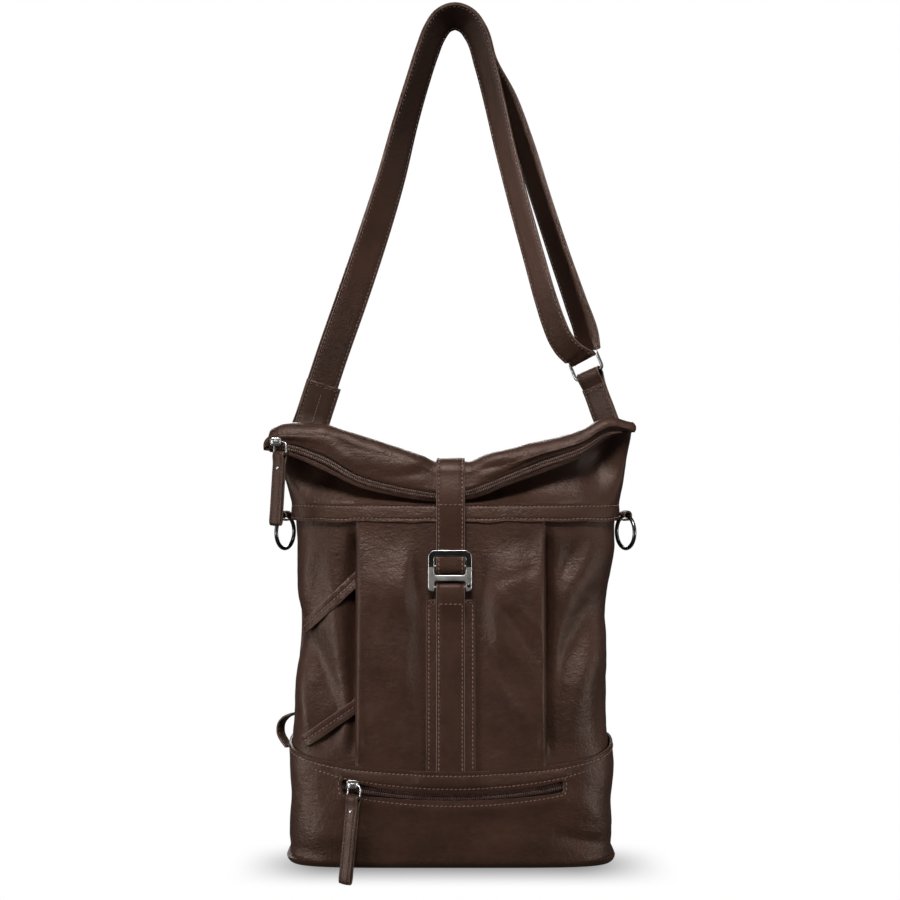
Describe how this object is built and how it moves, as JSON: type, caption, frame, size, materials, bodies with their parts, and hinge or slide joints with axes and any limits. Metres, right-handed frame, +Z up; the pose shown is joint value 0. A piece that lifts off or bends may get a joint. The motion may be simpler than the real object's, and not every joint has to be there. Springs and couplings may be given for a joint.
{
  "type": "roll-top bag on a shoulder strap",
  "caption": "Leather roll-top bag with a zipped mouth folded forward under a buckled strap, a boot base with a zip pocket and a long shoulder strap.",
  "frame": {"origin": "hang point, on the inner face of the shoulder strap at the top of its arch", "axes": "+Z up, the bag's front faces -Y, +X to the right as seen from the front"},
  "size_m": [0.3686, 0.1358, 0.8649],
  "materials": {
    "leather": "soft waxed chocolate hide with a low sheen",
    "strap_leather": "folded and stitched chocolate hide with painted edges",
    "zip_tape": "dark brown woven tape with a coil",
    "gunmetal": "polished dark nickel",
    "nickel": "bright nickel"
  },
  "bodies": {
    "bag": {"body_wall": "leather", "base_boot": "leather", "roll_top": "leather", "front_panel": "leather", "backing_patch": "leather", "pleat_strip_upper": "leather", "pleat_strip_lower": "leather", "closure_strap_upper": "strap_leather", "closure_strap_lower": "strap_leather", "closure_buckle": "gunmetal", "top_zip": "zip_tape", "top_slider": "nickel", "top_pull_ring": "nickel", "top_pull_tab": "strap_leather", "top_pull_rivet": "nickel", "pocket_zip": "zip_tape", "pocket_slider": "nickel", "pocket_pull_ring": "nickel", "pocket_pull_tab": "strap_leather", "pocket_pull_rivet": "nickel", "ring_tab_left": "strap_leather", "ring_tab_right": "strap_leather", "shoulder_strap": "strap_leather", "slide_ring": "nickel", "strap_tab_left": "strap_leather", "strap_tab_right": "strap_leather", "base_loop": "strap_leather"},
    "left_ring": {"side_ring_left": "gunmetal"},
    "right_ring": {"side_ring_right": "gunmetal"}
  },
  "joints": [
    {"name": "left_ring_swing", "type": "hinge", "parent": "bag", "child": "left_ring", "pos_m": [-0.1678, 0, -0.4975], "axis": [0.4695, 0.8829, 0], "range_deg": [-5, 80]},
    {"name": "right_ring_swing", "type": "hinge", "parent": "bag", "child": "right_ring", "pos_m": [0.1725, 0, -0.4975], "axis": [0.4695, -0.8829, 0], "range_deg": [-5, 80]}
  ]
}
